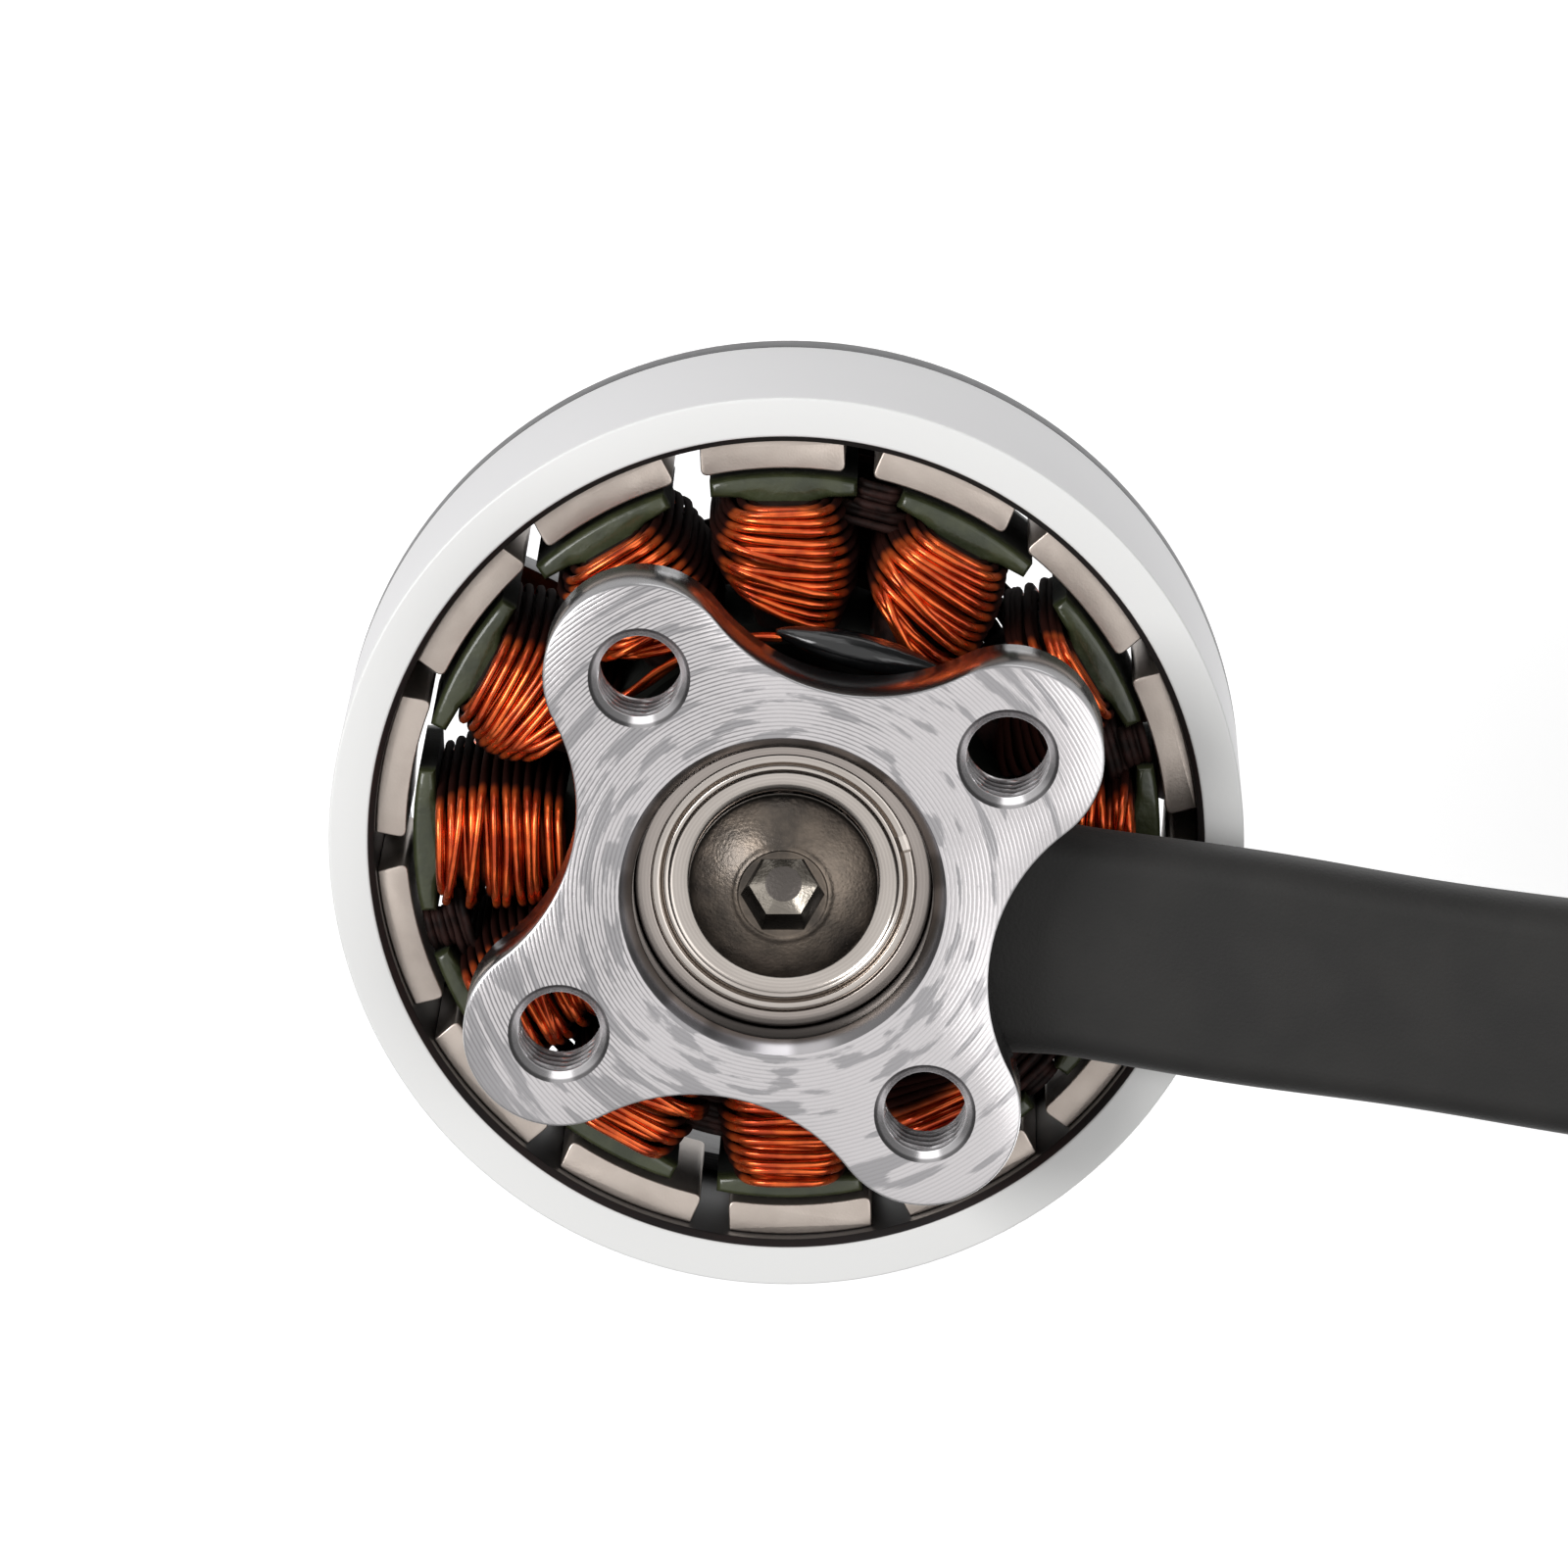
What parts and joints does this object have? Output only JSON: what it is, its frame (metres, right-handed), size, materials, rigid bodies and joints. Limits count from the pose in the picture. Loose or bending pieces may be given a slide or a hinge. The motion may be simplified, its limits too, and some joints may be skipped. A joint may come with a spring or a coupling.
{
  "type": "brushless outrunner motor",
  "caption": "Outrunner drone motor: rotating bell with magnets over a wound stator, cross-shaped aluminium base, threaded propeller shaft and leads in a flat sleeve.",
  "frame": {"origin": "centre of the hole circle on the mounting face of the base, on the shaft's axis", "axes": "+Z along the shaft towards the propeller, +X the way the sleeve and leads leave, between two arms; the mounting holes lie at 45 degrees to X and Y"},
  "size_m": [0.0749, 0.0343, 0.0314],
  "materials": {
    "machined_aluminium": "fly-cut, bright",
    "green_coating": "powder coating over steel laminations",
    "enamelled_copper": "clear orange enamel over copper",
    "shrink_tube": "glossy shrunk tube",
    "sleeve": "matte sleeve",
    "lead_insulation": "soft silicone",
    "tinned_copper": "tinned",
    "tie": "satin band",
    "bell_top": "dark anodised, satin",
    "ring_finish": "pale coated steel",
    "magnet_plating": "nickel plating, satin",
    "ground_steel": "ground",
    "bearing_steel": "polished",
    "shield_steel": "pressed sheet",
    "cage_steel": "pressed sheet",
    "dark_screw": "dark oxide"
  },
  "bodies": {
    "stator": {"base": "machined_aluminium", "stator_core": "green_coating", "coil_01": "enamelled_copper", "coil_02": "enamelled_copper", "coil_03": "enamelled_copper", "coil_04": "enamelled_copper", "coil_05": "enamelled_copper", "coil_06": "enamelled_copper", "coil_07": "enamelled_copper", "coil_08": "enamelled_copper", "coil_09": "enamelled_copper", "coil_10": "enamelled_copper", "coil_11": "enamelled_copper", "coil_12": "enamelled_copper", "lower_outer_ring": "bearing_steel", "lower_shields": "shield_steel", "lower_snap_rings": "shield_steel", "upper_outer_ring": "bearing_steel", "upper_shields": "shield_steel", "upper_snap_rings": "shield_steel", "star_joint": "shrink_tube", "phase_tail_a": "enamelled_copper", "phase_tail_b": "enamelled_copper", "phase_tail_c": "enamelled_copper", "lead_sleeve": "sleeve", "lead_a": "lead_insulation", "lead_b": "lead_insulation", "lead_c": "lead_insulation", "lead_coil_a": "lead_insulation", "lead_coil_b": "lead_insulation", "lead_coil_c": "lead_insulation", "lead_ends": "tinned_copper", "lead_tie": "tie"},
    "rotor": {"flux_ring": "ring_finish", "bell": "bell_top", "magnet_01": "magnet_plating", "magnet_02": "magnet_plating", "magnet_03": "magnet_plating", "magnet_04": "magnet_plating", "magnet_05": "magnet_plating", "magnet_06": "magnet_plating", "magnet_07": "magnet_plating", "magnet_08": "magnet_plating", "magnet_09": "magnet_plating", "magnet_10": "magnet_plating", "magnet_11": "magnet_plating", "magnet_12": "magnet_plating", "magnet_13": "magnet_plating", "magnet_14": "magnet_plating", "shaft": "ground_steel", "shaft_screw": "dark_screw", "shaft_washer": "bearing_steel", "lower_inner_ring": "bearing_steel", "upper_inner_ring": "bearing_steel"},
    "lower_ball_set": {"lower_cage": "cage_steel", "lower_balls": "bearing_steel"},
    "upper_ball_set": {"upper_cage": "cage_steel", "upper_balls": "bearing_steel"}
  },
  "joints": [
    {"name": "rotor_spin", "type": "hinge", "parent": "stator", "child": "rotor", "pos_m": [0, 0, 0], "axis": [0, 0, 1], "continuous": true},
    {"name": "lower_ball_set_spin", "type": "hinge", "parent": "stator", "child": "lower_ball_set", "pos_m": [0, 0, 0.0036], "axis": [0, 0, 1], "continuous": true},
    {"name": "upper_ball_set_spin", "type": "hinge", "parent": "stator", "child": "upper_ball_set", "pos_m": [0, 0, 0.0128], "axis": [0, 0, 1], "continuous": true}
  ],
  "couplings": [
    {"joint": "lower_ball_set_spin", "follows": "rotor_spin", "ratio": 0.37785},
    {"joint": "upper_ball_set_spin", "follows": "rotor_spin", "ratio": 0.37785}
  ]
}
